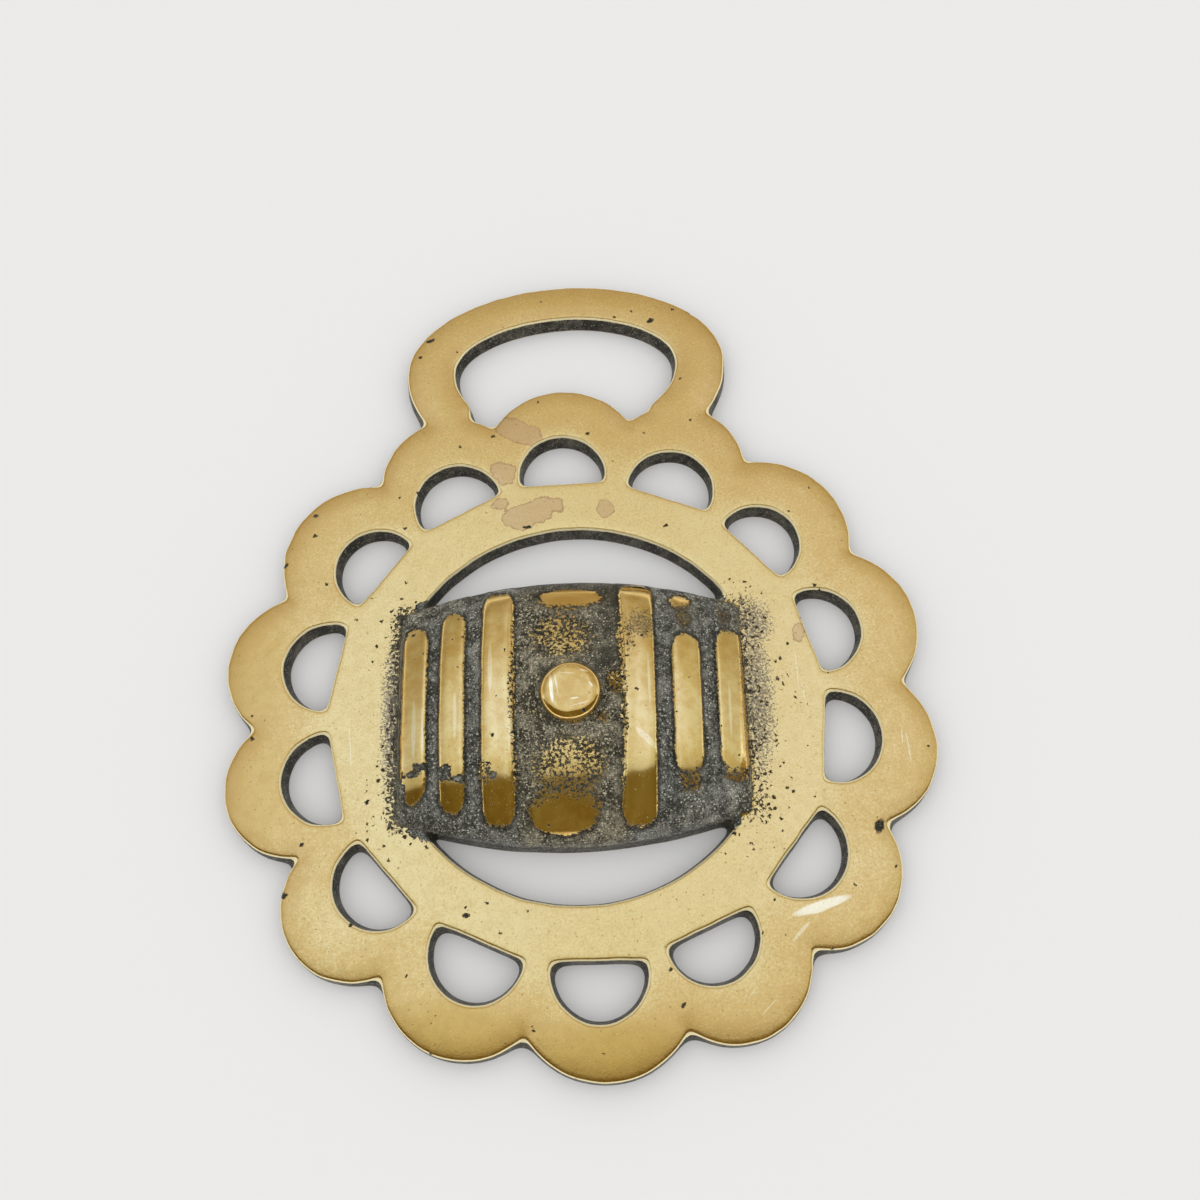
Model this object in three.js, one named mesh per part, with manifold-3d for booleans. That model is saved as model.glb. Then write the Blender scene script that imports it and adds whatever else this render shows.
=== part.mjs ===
// A pierced horse brass: one brass casting, face up and lying on its back.
// A border of fourteen lobes, each with a D-shaped opening, surrounds a ring that holds a cask in
// relief, and an oval hanger stands at the top for the strap. The cask is hollow from behind.
// Millimetres, +Z out of the face, +Y towards the hanger. Angles of the border run clockwise from +Y.
import * as THREE from "three";
import { mergeVertices } from "three/addons/utils/BufferGeometryUtils.js";
import Module from "manifold-3d";

const wasm = await Module();
wasm.setup();

// Driving dimensions, measured from the centre of the ring.
const PLATE = 2.5; // thickness of the flat casting
const LOBES = 14;
const LOBE_CENTRES = 30.9; // radius of the circle that the lobes' centres lie on
const LOBE_RADIUS = 8.7;
const OPENING_CENTRES = 28.4; // radius of the circle that the openings' arcs are struck from
const OPENING_CORNER = 0.9;
const RING_INSIDE = 21.6; // radius of the ring's inner edge
const RING_DROP = 0.3; // the ring's inner edge is struck from a little below the centre

// The edges are rounded by wear and drafted for the mould, so the back is a little larger than the face.
const EDGE_HEIGHT = 1.5;
const EDGE_SPREAD = 0.45;
const EDGE_STEPS = 2;

// The hanger's two ovals, each drawn from one angle to another in a number of steps. They rise less
// above their middles than they fall below them.
const HANGER = {
  outside: { x: 1.45, y: 43.5, halfWidth: 19.6, rise: 11.65, fall: 14.5, from: -48, to: 228, steps: 40 },
  inside: { x: 1.35, y: 43.3, halfWidth: 13.95, rise: 7.3, fall: 9, from: -42, to: 210, steps: 34 },
};
// The slot ends in two small round pockets, beside the top lobe.
const POCKETS = {
  right: { x: 9.35, y: 36.95, halfWidth: 2.1, rise: 2.1, fall: 2.1, from: -90, to: 0, steps: 6 },
  left: { x: -8.75, y: 37.3, halfWidth: 2.15, rise: 2.15, fall: 2.15, from: 155, to: 270, steps: 6 },
};

const CASK = {
  x: -0.7,
  y: -0.75,
  turn: -2.4, // degrees, as it sits in the ring
  halfLength: 19.3,
  halfWidth: 14.8, // at the belly
  taper: 9e-3, // half-width lost per square millimetre along the cask
  height: 6.3, // above the plate, at the belly
  endHeight: 0.38, // share of that height that the crown keeps towards the ends
  footInset: 0.35, // from the plate's edge in to the cask's foot
  headInset: 1.2, // the same at the flat heads that close the cask
  headHeight: 0.5,
  sunk: 0.5, // depth that the cask's blank reaches into the plate
  sides: 48,
};
// The hollow behind the cask stops short of its heads, and narrows and lowers there.
const HOLLOW = { wall: 2.3, headWall: 2.9, headInset: 1.2, stations: [4, 8, 11, 13.5, 15.3] };
const CRESCENT_REACH = 17.3; // along the cask, from its middle to the crescents' tips
// Each hoop's span along the cask.
const HOOPS = [
  [-18.45, -15.6],
  [-14.15, -11.4],
  [-9.55, -6.1],
  [5.7, 9.0],
  [10.9, 14.0],
  [15.8, 19.1],
];
const HOOP_RELIEF = 0.55; // hoops above the grooves between them
const BELLY_RELIEF = 0.3; // hoops above the belly
const HOOP_EDGE = 0.3; // width of a hoop's sloping edge
const BELLY_STATIONS = [-4, -2, 0, 2, 4];

// The bung, a button whose top edge is rounded in three flats.
const BUNG = { y: -0.55, radius: 3.25, height: 1.8, foot: 2, sides: 28 };
const BUNG_ROUND = [
  [0, 0.8],
  [0.24, 0.24],
  [0.8, 0.064],
]; // in from the side, and down from the top

// The pattern was cut by hand, so no two lobes and no two openings are alike. Clockwise from the top:
// each lobe's turn in degrees, then what its reach and its radius add to the plain ones.
const LOBE_CUTS = [
  [0.5, 0.2, 0.6],
  [0, 0.2, -0.6],
  [0, -0.2, 1.2],
  [0, 0.1, 0.6],
  [0, -0.1, 0.1],
  [0.3, 0, -0.4],
  [-0.5, -0.1, -0.6],
  [-1.3, -0.8, 0.9],
  [0.4, -0.8, 0],
  [0, -0.3, -0.9],
  [0.9, -0.1, -0.9],
  [-0.6, 0.1, -0.2],
  [0.5, 0.1, 1.1],
  [1.1, 0.2, -0.4],
];
// Each opening's shift along the border, the radius of its arc, and its base line's distance from
// the centre at the left and at the right.
const OPENING_CUTS = [
  [0, 5.3, 27.1, 27.0],
  [0.4, 5.3, 26.9, 27.2],
  [0.1, 5.0, 26.9, 27.1],
  [-0.2, 5.1, 27.0, 27.0],
  [-0.5, 5.3, 26.8, 27.4],
  [0, 5.3, 27.8, 27.2],
  [0.3, 5.1, 27.8, 26.8],
  [-0.2, 5.2, 27.4, 26.9],
  [-0.1, 5.2, 27.1, 27.0],
  [0, 5.1, 27.1, 27.1],
  [0.1, 5.2, 27.6, 27.1],
  [0.1, 5.3, 27.4, 27.2],
  [0.2, 5.1, 27.2, 26.9],
  [-0.2, 5.3, 27.1, 27.0],
];

const LOBE_TURN = 360 / LOBES;
const LOBE_STEPS = 12; // straight lengths round each lobe
const OPENING_STEPS = 8; // and round each opening's arc
const CORNER_STEPS = 3;
const CRESCENT_STEPS = 22;
const WELD = 1e-4; // vertices closer than this are one
const FAR = 300; // reaches beyond the casting on every side

const radians = THREE.MathUtils.degToRad;

// A closed geometry as a manifold-3d solid, its shared vertices merged and its faces outward.
function solid(geometry) {
  const bare = geometry.clone().deleteAttribute("normal").deleteAttribute("uv");
  const merged = mergeVertices(bare, WELD);
  return new wasm.Manifold(
    new wasm.Mesh({
      numProp: 3,
      vertProperties: merged.attributes.position.array,
      triVerts: new Uint32Array(merged.index.array),
    }),
  );
}

function geometryOf(manifold) {
  const mesh = manifold.getMesh();
  return new THREE.BufferGeometry()
    .setAttribute("position", new THREE.BufferAttribute(mesh.vertProperties, 3))
    .setIndex(new THREE.BufferAttribute(mesh.triVerts, 1));
}

// A flat piece of the casting: its face is the shape given, its edges spread towards the back.
function casting(shape) {
  const spare = 0.5; // depth below the back, where the whole is cut off flat
  const geometry = new THREE.ExtrudeGeometry(shape, {
    depth: PLATE - EDGE_HEIGHT + spare,
    bevelThickness: EDGE_HEIGHT,
    bevelSize: EDGE_SPREAD,
    bevelSegments: EDGE_STEPS,
  });
  return solid(geometry.translate(0, 0, -spare));
}

// Distance from the ring's centre to the border's edge, in the direction of a lobe's axis plus off.
function lobeEdge(lobe, off) {
  const [turn, reach, radius] = LOBE_CUTS[lobe];
  const r = LOBE_RADIUS + radius;
  const centre = LOBE_CENTRES + LOBE_RADIUS + reach - r;
  const angle = radians(off - turn);
  const across = centre * Math.sin(angle);
  return centre * Math.cos(angle) + Math.sqrt(Math.max(r * r - across * across, 0));
}

function borderPoint(angle, radius) {
  return new THREE.Vector2(Math.sin(radians(angle)), Math.cos(radians(angle))).multiplyScalar(radius);
}

// The lobed outline, each lobe from the valley before it to the valley after it.
function borderOutline() {
  const points = [];
  for (let lobe = 0; lobe < LOBES; lobe++) {
    const next = (lobe + 1) % LOBES;
    const before = (lobe + LOBES - 1) % LOBES;
    for (let i = 0; i < LOBE_STEPS; i++) {
      const off = (i / LOBE_STEPS - 0.5) * LOBE_TURN;
      const neighbour = off < 0 ? lobeEdge(before, off + LOBE_TURN) : lobeEdge(next, off - LOBE_TURN);
      const radius = Math.max(lobeEdge(lobe, off), neighbour);
      points.push(borderPoint(lobe * LOBE_TURN + off, radius));
    }
  }
  return points.reverse();
}

// A rounded corner between two points, drawn towards the sharp corner.
function corner(start, sharp, end) {
  const path = new THREE.Path().moveTo(start.x, start.y);
  return path.quadraticCurveTo(sharp.x, sharp.y, end.x, end.y).getPoints(CORNER_STEPS);
}

// A D-shaped opening: an arc over a straight base, with rounded corners, turned to its lobe.
function opening(lobe) {
  const [shift, radius, left, right] = OPENING_CUTS[lobe];
  const leftEnd = Math.asin((left - OPENING_CENTRES) / radius);
  const rightEnd = Math.asin((right - OPENING_CENTRES) / radius);
  const round = OPENING_CORNER / radius;
  const from = rightEnd + round;
  const to = Math.PI - leftEnd - round;
  const arc = new THREE.Path().absarc(shift, OPENING_CENTRES, radius, from, to).getPoints(OPENING_STEPS);
  const leftSharp = new THREE.Vector2(shift - radius * Math.cos(leftEnd), left);
  const rightSharp = new THREE.Vector2(shift + radius * Math.cos(rightEnd), right);
  const leftFoot = new THREE.Vector2(leftSharp.x + OPENING_CORNER, left);
  const rightFoot = new THREE.Vector2(rightSharp.x - OPENING_CORNER, right);
  const leftCorner = corner(arc[arc.length - 1], leftSharp, leftFoot).slice(1);
  const rightCorner = corner(rightFoot, rightSharp, arc[0]).slice(0, -1);
  const turn = -radians(lobe * LOBE_TURN);
  const points = [...arc, ...leftCorner, ...rightCorner];
  return new THREE.Path(points.map((point) => point.rotateAround(new THREE.Vector2(), turn)));
}

// Half the cask's width and its height above the plate, at a distance along it.
function caskHalfWidth(along) {
  return CASK.halfWidth - CASK.taper * along * along;
}
function caskHeight(along) {
  const share = Math.abs(along) / CASK.halfLength;
  return CASK.height * (1 - (1 - CASK.endHeight) * share ** 2.6);
}

// How far the surface lies below the hoops, at a distance along the cask.
function caskRelief(along) {
  const onHoop = HOOPS.some(([from, to]) => along >= from && along <= to);
  if (onHoop) return 0;
  const [, lastLeft] = HOOPS[HOOPS.length / 2 - 1];
  const [firstRight] = HOOPS[HOOPS.length / 2];
  return along > lastLeft && along < firstRight ? BELLY_RELIEF : HOOP_RELIEF;
}

// The space between the ring and the cask, above it (side 1) or below it (side -1).
function crescent(side) {
  const origin = new THREE.Vector2();
  const caskCentre = new THREE.Vector2(CASK.x, CASK.y);
  const ringCentre = new THREE.Vector2(0, -RING_DROP);
  const cask = [];
  for (let i = 0; i <= CRESCENT_STEPS; i++) {
    const along = side * (1 - (2 * i) / CRESCENT_STEPS) * CRESCENT_REACH;
    const point = new THREE.Vector2(along, side * caskHalfWidth(along));
    cask.push(point.rotateAround(origin, radians(CASK.turn)).add(caskCentre));
  }
  const angleOf = (point) => Math.atan2(point.y - ringCentre.y, point.x - ringCentre.x);
  const from = angleOf(cask[CRESCENT_STEPS]);
  let sweep = angleOf(cask[0]) - from;
  if (sweep > 0) sweep -= 2 * Math.PI;
  const ring = [];
  for (let i = 0; i <= CRESCENT_STEPS; i++) {
    const point = new THREE.Vector2(RING_INSIDE, 0).rotateAround(origin, from + (sweep * i) / CRESCENT_STEPS);
    ring.push(point.add(ringCentre));
  }
  return new THREE.Path([...cask, ...ring]);
}

function border() {
  const shape = new THREE.Shape(borderOutline());
  for (let lobe = 0; lobe < LOBES; lobe++) shape.holes.push(opening(lobe));
  shape.holes.push(crescent(1), crescent(-1));
  return casting(shape);
}

// Points round an oval, anticlockwise.
function ovalArc({ x, y, halfWidth, rise, fall, from, to, steps }) {
  const points = [];
  for (let i = 0; i <= steps; i++) {
    const angle = radians(from + ((to - from) * i) / steps);
    const height = Math.sin(angle) > 0 ? rise : fall;
    points.push(new THREE.Vector2(x + halfWidth * Math.cos(angle), y + height * Math.sin(angle)));
  }
  return points;
}

// The hanger is an arch whose two feet run into the lobes.
function hanger() {
  const slot = [...ovalArc(POCKETS.right), ...ovalArc(HANGER.inside), ...ovalArc(POCKETS.left)];
  return casting(new THREE.Shape([...ovalArc(HANGER.outside), ...slot.reverse()]));
}

// A barrel shape lying along X, closed at its first and last stations, in the cask's place and turn:
// a turned blank, given the half-width and the height asked for at each place along it.
function caskBlank(stations, halfWidth, height) {
  const profile = stations.map((along) => new THREE.Vector2(1, along));
  profile.unshift(new THREE.Vector2(0, stations[0]));
  profile.push(new THREE.Vector2(0, stations[stations.length - 1]));
  const blank = new THREE.LatheGeometry(profile, CASK.sides).rotateZ(-Math.PI / 2);
  const at = blank.attributes.position;
  for (let i = 0; i < at.count; i++) {
    const along = at.getX(i);
    at.setXYZ(i, along, at.getY(i) * halfWidth(along), at.getZ(i) * height(along));
  }
  return solid(blank.rotateZ(radians(CASK.turn)).translate(CASK.x, CASK.y, 0));
}

// Where the cask's section changes: at its heads, along its belly and at the edges of each hoop.
function caskStations() {
  const places = [...BELLY_STATIONS];
  for (const [from, to] of HOOPS) {
    places.push(from - HOOP_EDGE, from, (from + to) / 2, to, to + HOOP_EDGE);
  }
  const between = places.filter((along) => Math.abs(along) < CASK.halfLength);
  return [-CASK.halfLength, ...between.sort((a, b) => a - b), CASK.halfLength];
}

// A box that fills all space below a height.
function spaceBelow(height) {
  return solid(new THREE.BoxGeometry(FAR, FAR, FAR).translate(0, 0, height - FAR / 2));
}

// The cask's outside, down into the plate: belly, hoops and the grooves between them.
function cask() {
  const isHead = (along) => Math.abs(along) >= CASK.halfLength;
  const inset = (along) => (isHead(along) ? CASK.headInset : CASK.footInset + caskRelief(along));
  const halfWidth = (along) => caskHalfWidth(along) - inset(along);
  const height = (along) => (isHead(along) ? CASK.headHeight : caskHeight(along) - caskRelief(along));
  const blank = caskBlank(caskStations(), halfWidth, height);
  return blank.translate(0, 0, PLATE).subtract(spaceBelow(PLATE - CASK.sunk));
}

// The space behind the cask, which keeps the casting's wall even.
function caskHollow() {
  const end = CASK.halfLength - HOLLOW.headWall;
  const inset = (along) => HOLLOW.wall + (Math.abs(along) < end ? 0 : HOLLOW.headInset);
  const right = [...HOLLOW.stations, end];
  const left = right.map((along) => -along).reverse();
  const halfWidth = (along) => caskHalfWidth(along) - inset(along);
  const height = (along) => PLATE + caskHeight(along) - inset(along);
  return caskBlank([...left, 0, ...right], halfWidth, height);
}

function bung() {
  const profile = [new THREE.Vector2(0, -BUNG.foot), new THREE.Vector2(BUNG.radius, -BUNG.foot)];
  for (const [inward, down] of BUNG_ROUND) {
    profile.push(new THREE.Vector2(BUNG.radius - inward, BUNG.height - down));
  }
  profile.push(new THREE.Vector2(0, BUNG.height));
  const button = new THREE.LatheGeometry(profile, BUNG.sides).rotateX(Math.PI / 2);
  return solid(button.translate(CASK.x, BUNG.y, PLATE + CASK.height - BELLY_RELIEF));
}

function horseBrass() {
  const whole = border().add(hanger()).add(cask()).add(bung());
  const geometry = geometryOf(whole.subtract(caskHollow()).subtract(spaceBelow(0)));

  // The part's origin is under the middle of its outline, on the surface that it lies on.
  geometry.computeBoundingBox();
  const middle = geometry.boundingBox.getCenter(new THREE.Vector3());
  geometry.translate(-middle.x, -middle.y, 0);
  geometry.computeVertexNormals();
  const brass = new THREE.MeshStandardMaterial({ color: 0xb8934f, roughness: 0.35, metalness: 1 });
  const mesh = new THREE.Mesh(geometry, brass);
  mesh.name = "horse_brass";
  return mesh;
}

const part = new THREE.Group();
part.add(horseBrass());
export default part;
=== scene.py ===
"""A horse brass: one brass casting, lying on its back, as a fine mesh with its finish.

The casting is a pierced border of fourteen lobes round a ring, a cask in relief across the ring and an
oval hanger for the strap. Shapes are worked out in millimetres from the middle of the ring, +Y towards
the hanger and +Z out of the face, and are moved to the frame's place and unit at the end.
"""

import math

import bpy
import numpy as np
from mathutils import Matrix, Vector, kdtree, noise
from mathutils.geometry import delaunay_2d_cdt


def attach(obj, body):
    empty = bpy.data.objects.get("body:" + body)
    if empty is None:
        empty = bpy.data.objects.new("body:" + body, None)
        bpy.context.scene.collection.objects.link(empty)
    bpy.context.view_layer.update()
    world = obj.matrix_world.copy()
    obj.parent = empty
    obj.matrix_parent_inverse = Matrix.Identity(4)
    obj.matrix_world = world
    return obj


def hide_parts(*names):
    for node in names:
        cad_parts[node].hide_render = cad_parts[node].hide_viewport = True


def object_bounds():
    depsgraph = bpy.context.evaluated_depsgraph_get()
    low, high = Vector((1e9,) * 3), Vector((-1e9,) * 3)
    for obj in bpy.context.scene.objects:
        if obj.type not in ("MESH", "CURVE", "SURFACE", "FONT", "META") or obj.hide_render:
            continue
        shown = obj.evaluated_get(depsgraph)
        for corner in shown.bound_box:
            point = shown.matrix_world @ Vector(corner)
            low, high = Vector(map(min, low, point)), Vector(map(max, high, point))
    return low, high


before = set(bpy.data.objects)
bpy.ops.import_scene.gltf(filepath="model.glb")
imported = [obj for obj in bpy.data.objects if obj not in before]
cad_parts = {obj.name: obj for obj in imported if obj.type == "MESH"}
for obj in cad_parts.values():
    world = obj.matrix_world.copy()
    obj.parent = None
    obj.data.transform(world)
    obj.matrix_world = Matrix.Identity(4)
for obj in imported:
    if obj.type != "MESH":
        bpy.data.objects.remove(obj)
cad_box = [list(corner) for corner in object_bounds()]
MM = 0.001

# ------------------------------
# Sizes of the casting, in millimetres.

PLATE = 2.5  # thickness of the flat casting
LOBES = 14
LOBE_TURN = 360 / LOBES
LOBE_CENTRES = 30.9  # radius of the circle that the lobes' centres lie on
LOBE_RADIUS = 8.7
OPENING_CENTRES = 28.4  # radius of the circle that the openings' arcs are struck from
RING_INSIDE = 21.6  # radius of the ring's inner edge
RING_DROP = 0.3  # the ring's inner edge is struck from a little below the middle

# Each lobe's turn in degrees, then what its reach and its radius add to the plain ones.
LOBE_CUTS = [
    (0.5, 0.2, 0.6),
    (0, 0.2, -0.6),
    (0, -0.2, 1.2),
    (0, 0.1, 0.6),
    (0, -0.1, 0.1),
    (0.3, 0, -0.4),
    (-0.5, -0.1, -0.6),
    (-1.3, -0.8, 0.9),
    (0.4, -0.8, 0),
    (0, -0.3, -0.9),
    (0.9, -0.1, -0.9),
    (-0.6, 0.1, -0.2),
    (0.5, 0.1, 1.1),
    (1.1, 0.2, -0.4),
]
# Each opening's shift along the border, the radius of its arc, and its base line at left and right.
OPENING_CUTS = [
    (0, 5.3, 27.1, 27.0),
    (0.4, 5.3, 26.9, 27.2),
    (0.1, 5.0, 26.9, 27.1),
    (-0.2, 5.1, 27.0, 27.0),
    (-0.5, 5.3, 26.8, 27.4),
    (0, 5.3, 27.8, 27.2),
    (0.3, 5.1, 27.8, 26.8),
    (-0.2, 5.2, 27.4, 26.9),
    (-0.1, 5.2, 27.1, 27.0),
    (0, 5.1, 27.1, 27.1),
    (0.1, 5.2, 27.6, 27.1),
    (0.1, 5.3, 27.4, 27.2),
    (0.2, 5.1, 27.2, 26.9),
    (-0.2, 5.3, 27.1, 27.0),
]

# Ovals: middle, half-width, rise, fall, and the angles that they are drawn between.
HANGER_OUTSIDE = (1.45, 43.5, 19.6, 11.65, 14.5, -48, 228)
HANGER_INSIDE = (1.35, 43.3, 13.95, 7.3, 9.0, -42, 210)
RIGHT_POCKET = (9.35, 36.95, 2.1, 2.1, 2.1, -90, 0)
LEFT_POCKET = (-8.75, 37.3, 2.15, 2.15, 2.15, 155, 270)

# The cask: its middle, its turn in the ring, and half its length and width.
CASK_X, CASK_Y = -0.7, -0.75
CASK_TURN = math.radians(-2.4)
CASK_LENGTH = 19.3
CASK_WIDTH = 14.8
CASK_TAPER = 9e-3  # half-width lost per square millimetre along the cask
CASK_HEIGHT = 6.3  # above the plate, at the belly
CASK_END = 0.38  # share of that height that the crown keeps at the ends
CROWN_CURVE = 2.6  # the more, the flatter the crown is along its middle
SECTION_CURVE = 2.1  # across the cask; 2 would be a plain ellipse
CASK_SPREAD = 0.14  # how far the cask's foot reaches past its half-width
HEAD_SLOPE = (-0.65, 0.2)  # the sloping heads, from inside the cask's ends to outside them
HEAD_DEPTH = 0.6  # how far below the plate's face their foot would lie
FILLET_REACH, FILLET_RISE = 0.35, 0.07  # the soft corner between the cask and the plate
CASK_WALL = 2.3
HEAD_WALL = 2.9  # from the hollow to the cask's flat heads
CRESCENT_REACH = 17.3  # along the cask, from its middle to the crescents' tips
HOOP_RELIEF = 0.55  # hoops above the grooves between them
HOOP_ROUND = 0.11  # how far a hoop's edges lie below its middle
HOOP_SIDE = (-0.18, 0.14)  # a hoop's sloping side, from outside its edge to inside it
HOOP_WAVES = 0.045  # height of the ripples on the hoops
BELLY_HALF = 6  # the belly's reach each way along the cask
BELLY_RELIEF = 0.3  # hoops above the belly
BELLY_MARGIN = (4.2, 4.8)  # where the belly steps down beside the inner hoops
BELLY_STEP = 0.16
# The last hoop's right side is filed to a slanting facet: where it begins, its lean and its slope.
FACET_START, FACET_LEAN, FACET_SLOPE = 18.25, 0.07, 0.45
BUNG_Y = -0.55
BUNG_RADIUS = 3.25
BUNG_HEIGHT = 1.8  # above the belly

# Each hoop: its span along the cask, how much its two edges lean, how much its first edge bows, and
# how far down and up the cask it is polished.
HOOPS = (
    (-18.45, -15.6, 0, 0, 0, -10.2, 9.3),
    (-14.15, -11.4, 0, 0, 0, -11.6, 10.6),
    (-9.55, -6.1, 0, 0, 0, -13.0, 12.9),
    (5.7, 9.0, 0.022, 0.022, 0.0032, -13.4, 13.9),
    (10.9, 14.0, 0.022, 0.022, 0, -8.3, 6.9),
    (15.8, 19.1, 0.022, 0, 0, -8.0, 7.7),
)

# The edge all round, from the face down to the wall: offset into the open, and drop below the face.
EDGE_FACE = ((-1.0, 0), (-0.5, 0), (-0.22, 0.006), (-0.07, 0.025), (0.04, 0.1), (0.13, 0.27), (0.19, 0.52))
# Then the drafted wall, down to the back: offset, and share of the wall's height that is left.
EDGE_WALL = ((0.24, 0.84), (0.28, 0.66), (0.42, 0.12), (0.39, 0))
# Which of the face's edge rings get a painted highlight, pale like edges catching the light; the last ring
# is already as grimy as the wall.
RIM_RINGS = slice(4, 6)
# The face's soft fall to each kind of edge: where it begins, and how deep it is at the edge.
LOBE_FALL = (3.0, 0.26)
SLOT_FALL = (2.2, 0.14)
OPENING_FALL = (1.0, 0.03)
RING_FALL = (1.2, 0.05)
FACE_SPARE = 0.045  # how far the face is lowered to make room for its waves
# Waves, each as its height, its size and its seed: of the outlines, the hoops' edges, the face and the
# bung, and of the borders of the polish, the grime and the stains.
OUTLINE_WAVES = ((0.07, 2.2, 3.1), (0.075, 0.8, 8.2), (0.06, 0.4, 9.7))
HOOP_EDGE_WAVES = ((0.05, 2.2, 4.0), (0.03, 0.7, 6.0))
FACE_WAVES = ((0.05, 9, 11.0), (0.01, 2.6, 12.0))
BUNG_WAVES = ((0.07, 1.7, 61.0), (0.02, 0.7, 62.0))
POLISH_WAVES = ((0.3, 1.8, 23.0), (0.12, 0.6, 24.0))
GRIME_WAVES = ((0.35, 1.3, 21.0), (0.3, 0.5, 22.0))
STAIN_WAVES = ((0.7, 1.9, 41.0), (0.35, 0.8, 42.0))
# How often each kind of outline is smoothed.
OUTLINE_EASING = 14
OPENING_EASING = 8
CRESCENT_EASING = 50
# Distances between the mesh's vertices, and how far those within an area keep from its edges.
FINE_STEP = 0.12
OUTLINE_STEP = 0.33
PLATE_STEP, PLATE_GAP = 0.42, 0.25
CASK_STEP, CASK_GAP = 0.22, 0.18
BACK_STEP, BACK_GAP = 1.3, 0.5
# How many vertices go round the bung and round the hollow.
BUNG_SIDES = 110
HOLLOW_SIDES = 150


# ------------------------------
# Small tools for closed outlines. Every outline runs anticlockwise.


def turned(points, angle):
    c, s = math.cos(angle), math.sin(angle)
    return points @ np.array([[c, s], [-s, c]])


def respaced(loop, count):
    """The outline with count points at even steps, starting where it started."""
    closed = np.vstack([loop, loop[:1]])
    run = np.concatenate([[0], np.cumsum(np.linalg.norm(np.diff(closed, axis=0), axis=1))])
    at = np.arange(count) * run[-1] / count
    return np.column_stack([np.interp(at, run, closed[:, k]) for k in (0, 1)])


def eased(loop, passes):
    """The outline with its corners rounded a little."""
    for _ in range(passes):
        loop = 0.5 * loop + 0.25 * (np.roll(loop, 1, axis=0) + np.roll(loop, -1, axis=0))
    return loop


def length(loop):
    return np.linalg.norm(loop - np.roll(loop, 1, axis=0), axis=1).sum()


def filed(loop, easing=OUTLINE_EASING):
    """An outline as the file left it: corners eased, slightly wavy, at even steps from a smooth stretch."""
    fine = respaced(loop, int(length(loop) / FINE_STEP))
    fine = np.roll(fine, len(fine) // 3, axis=0)
    fine = eased(fine, easing)
    out = np.roll(fine, -1, axis=0) - np.roll(fine, 1, axis=0)
    out = np.column_stack([out[:, 1], -out[:, 0]]) / np.linalg.norm(out, axis=1)[:, None]
    fine = fine + out * waves(fine, OUTLINE_WAVES)[:, None]
    return respaced(fine, int(length(fine) / OUTLINE_STEP))


def moved(loop, distance, side):
    """The outline moved into the open by a distance, with side 1 round the outside and -1 in a hole."""
    steps = max(1, math.ceil(abs(distance) / 0.08))
    count = len(loop)
    for _ in range(steps):
        along = np.roll(loop, -1, axis=0) - np.roll(loop, 1, axis=0)
        out = np.column_stack([along[:, 1], -along[:, 0]]) / np.linalg.norm(along, axis=1)[:, None]
        loop = eased(respaced(loop + out * side * distance / steps, count), 3 if distance > 0 else 1)
    return loop


def inside(points, loop):
    """Which points lie inside the outline."""
    x, y = points[:, 0], points[:, 1]
    result = np.zeros(len(points), bool)
    for (x0, y0), (x1, y1) in zip(loop, np.roll(loop, -1, axis=0)):
        if y0 == y1:
            continue
        crosses = (y0 > y) != (y1 > y)
        result ^= crosses & (x < x0 + (y - y0) * (x1 - x0) / (y1 - y0))
    return result


def distance_to(points, loops):
    """Each point's distance to the nearest point of the outlines."""
    targets = np.vstack(loops)
    tree = kdtree.KDTree(len(targets))
    for i, (x, y) in enumerate(targets):
        tree.insert((x, y, 0), i)
    tree.balance()
    return np.array([tree.find((x, y, 0))[2] for x, y in points])


def smooth_step(x, low, high):
    t = np.clip((x - low) / (high - low), 0, 1)
    return t * t * (3 - 2 * t)


def grain(points, size, seed):
    """Smooth random values from about -1 to 1, with lumps of about the size given in millimetres."""
    return np.array([noise.noise(Vector((x / size, y / size, seed))) for x, y in points])


def waves(points, parts):
    """A sum of grains, from the height, the size and the seed of each."""
    return sum(height * grain(points, size, seed) for height, size, seed in parts)


# ------------------------------
# The casting's outlines.


def lobe_edge(lobe, off):
    """The border's reach from the middle, in the direction off degrees clockwise of a lobe's axis."""
    turn, reach, bulge = LOBE_CUTS[lobe % LOBES]
    radius = LOBE_RADIUS + bulge
    centre = LOBE_CENTRES + LOBE_RADIUS + reach - radius
    angle = math.radians(off - turn)
    across = centre * math.sin(angle)
    return centre * math.cos(angle) + math.sqrt(max(radius**2 - across**2, 0))


def border_reach(angle):
    lobe = round(angle / LOBE_TURN)
    off = angle - lobe * LOBE_TURN
    beside = lobe_edge(lobe + 1, off - LOBE_TURN) if off > 0 else lobe_edge(lobe - 1, off + LOBE_TURN)
    return max(lobe_edge(lobe, off), beside)


def border_points(start, end):
    """Points of the lobed border, by angles clockwise from the top."""
    angles = np.linspace(start, end, int(abs(end - start) * 4))
    reach = np.array([border_reach(a) for a in angles])
    turn = np.radians(angles)
    return np.column_stack([reach * np.sin(turn), reach * np.cos(turn)])


def beyond_border(points):
    reach = np.array([border_reach(math.degrees(math.atan2(x, y))) for x, y in points])
    return np.hypot(points[:, 0], points[:, 1]) > reach


def oval(x, y, half_width, rise, fall, start, end):
    t = np.radians(np.linspace(start, end, 240))
    height = np.where(np.sin(t) > 0, rise, fall)
    return np.column_stack([x + half_width * np.cos(t), y + height * np.sin(t)])


def within_oval(points, x, y, half_width, rise, fall, *_):
    height = np.where(points[:, 1] > y, rise, fall)
    return ((points[:, 0] - x) / half_width) ** 2 + ((points[:, 1] - y) / height) ** 2 < 1


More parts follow.
